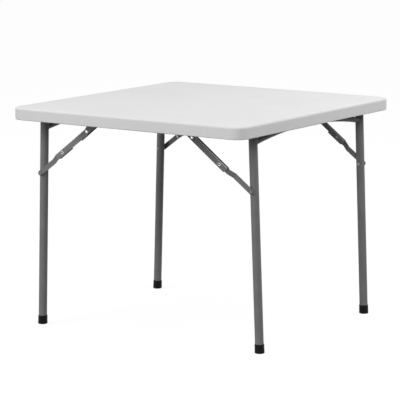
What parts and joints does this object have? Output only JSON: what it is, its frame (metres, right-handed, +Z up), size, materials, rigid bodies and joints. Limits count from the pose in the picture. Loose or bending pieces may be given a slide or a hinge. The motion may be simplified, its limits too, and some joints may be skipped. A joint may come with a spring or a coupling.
{
  "type": "folding card table",
  "caption": "Square moulded-top card table on two tubular leg frames that fold flat under it, each leg held open by a jointed sheet-metal brace.",
  "frame": {"origin": "on the floor, under the centre of the square top", "axes": "+Z up, +X towards the right leg frame, +Y towards the back; the leg frames fold about axes along Y"},
  "size_m": [0.914, 0.914, 0.74],
  "materials": {
    "moulded_top": "fine pebbled",
    "coated_steel": "semi-gloss powder coat",
    "black_plastic": "matt",
    "zinc_plated_steel": "bright zinc"
  },
  "bodies": {
    "tabletop": {"tabletop": "moulded_top", "saddle_screws": "zinc_plated_steel", "anchor_screws": "zinc_plated_steel", "left_front_hinge_saddle": "coated_steel", "left_front_anchor_bracket": "coated_steel", "left_front_anchor_rivet": "zinc_plated_steel", "left_back_hinge_saddle": "coated_steel", "left_back_anchor_bracket": "coated_steel", "left_back_anchor_rivet": "zinc_plated_steel", "right_front_hinge_saddle": "coated_steel", "right_front_anchor_bracket": "coated_steel", "right_front_anchor_rivet": "zinc_plated_steel", "right_back_hinge_saddle": "coated_steel", "right_back_anchor_bracket": "coated_steel", "right_back_anchor_rivet": "zinc_plated_steel"},
    "left_leg_frame": {"left_cross_tube": "coated_steel", "left_hinge_tube": "coated_steel", "left_front_leg": "coated_steel", "left_front_foot_cap": "black_plastic", "left_front_hinge_plug": "black_plastic", "left_front_leg_rivet": "coated_steel", "left_front_leg_spacer": "coated_steel", "left_back_leg": "coated_steel", "left_back_foot_cap": "black_plastic", "left_back_hinge_plug": "black_plastic", "left_back_leg_rivet": "coated_steel", "left_back_leg_spacer": "coated_steel"},
    "left_front_upper_brace": {"left_front_upper_link": "coated_steel", "left_front_knee_rivet": "zinc_plated_steel"},
    "left_front_lower_brace": {"left_front_lower_link": "coated_steel", "left_front_link_rivet": "coated_steel"},
    "left_back_upper_brace": {"left_back_upper_link": "coated_steel", "left_back_knee_rivet": "zinc_plated_steel"},
    "left_back_lower_brace": {"left_back_lower_link": "coated_steel", "left_back_link_rivet": "coated_steel"},
    "right_leg_frame": {"right_cross_tube": "coated_steel", "right_hinge_tube": "coated_steel", "right_front_leg": "coated_steel", "right_front_foot_cap": "black_plastic", "right_front_hinge_plug": "black_plastic", "right_front_leg_rivet": "coated_steel", "right_front_leg_spacer": "coated_steel", "right_back_leg": "coated_steel", "right_back_foot_cap": "black_plastic", "right_back_hinge_plug": "black_plastic", "right_back_leg_rivet": "coated_steel", "right_back_leg_spacer": "coated_steel"},
    "right_front_upper_brace": {"right_front_upper_link": "coated_steel", "right_front_knee_rivet": "zinc_plated_steel"},
    "right_front_lower_brace": {"right_front_lower_link": "coated_steel", "right_front_link_rivet": "coated_steel"},
    "right_back_upper_brace": {"right_back_upper_link": "coated_steel", "right_back_knee_rivet": "zinc_plated_steel"},
    "right_back_lower_brace": {"right_back_lower_link": "coated_steel", "right_back_link_rivet": "coated_steel"}
  },
  "joints": [
    {"name": "left_frame_fold", "type": "hinge", "parent": "tabletop", "child": "left_leg_frame", "pos_m": [-0.36087, 0, 0.704], "axis": [0, -1, 0], "range_deg": [0, 89]},
    {"name": "left_front_upper_fold", "type": "hinge", "parent": "tabletop", "child": "left_front_upper_brace", "pos_m": [-0.17997, -0.3956, 0.6735], "axis": [0, -1, 0], "range_deg": [-37.55, 0.5]},
    {"name": "left_front_knee_fold", "type": "hinge", "parent": "left_front_upper_brace", "child": "left_front_lower_brace", "pos_m": [-0.28317, -0.3956, 0.59643], "axis": [0, -1, 0], "range_deg": [-0.5, 179.55]},
    {"name": "left_back_upper_fold", "type": "hinge", "parent": "tabletop", "child": "left_back_upper_brace", "pos_m": [-0.17997, 0.3159, 0.6735], "axis": [0, -1, 0], "range_deg": [-37.55, 0.5]},
    {"name": "left_back_knee_fold", "type": "hinge", "parent": "left_back_upper_brace", "child": "left_back_lower_brace", "pos_m": [-0.28317, 0.3159, 0.59643], "axis": [0, -1, 0], "range_deg": [-0.5, 179.55]},
    {"name": "right_frame_fold", "type": "hinge", "parent": "tabletop", "child": "right_leg_frame", "pos_m": [0.36087, 0, 0.704], "axis": [0, 1, 0], "range_deg": [0, 89]},
    {"name": "right_front_upper_fold", "type": "hinge", "parent": "tabletop", "child": "right_front_upper_brace", "pos_m": [0.17997, -0.3159, 0.6735], "axis": [0, 1, 0], "range_deg": [-37.55, 0.5]},
    {"name": "right_front_knee_fold", "type": "hinge", "parent": "right_front_upper_brace", "child": "right_front_lower_brace", "pos_m": [0.28317, -0.3159, 0.59643], "axis": [0, 1, 0], "range_deg": [-0.5, 179.55]},
    {"name": "right_back_upper_fold", "type": "hinge", "parent": "tabletop", "child": "right_back_upper_brace", "pos_m": [0.17997, 0.3956, 0.6735], "axis": [0, 1, 0], "range_deg": [-37.55, 0.5]},
    {"name": "right_back_knee_fold", "type": "hinge", "parent": "right_back_upper_brace", "child": "right_back_lower_brace", "pos_m": [0.28317, 0.3956, 0.59643], "axis": [0, 1, 0], "range_deg": [-0.5, 179.55]}
  ],
  "couplings": [
    {"joint": "left_front_upper_fold", "follows": "left_frame_fold", "ratio": -0.41629},
    {"joint": "left_front_knee_fold", "follows": "left_frame_fold", "ratio": 2.0118},
    {"joint": "left_back_upper_fold", "follows": "left_frame_fold", "ratio": -0.41629},
    {"joint": "left_back_knee_fold", "follows": "left_frame_fold", "ratio": 2.0118},
    {"joint": "right_front_upper_fold", "follows": "right_frame_fold", "ratio": -0.41629},
    {"joint": "right_front_knee_fold", "follows": "right_frame_fold", "ratio": 2.0118},
    {"joint": "right_back_upper_fold", "follows": "right_frame_fold", "ratio": -0.41629},
    {"joint": "right_back_knee_fold", "follows": "right_frame_fold", "ratio": 2.0118}
  ]
}
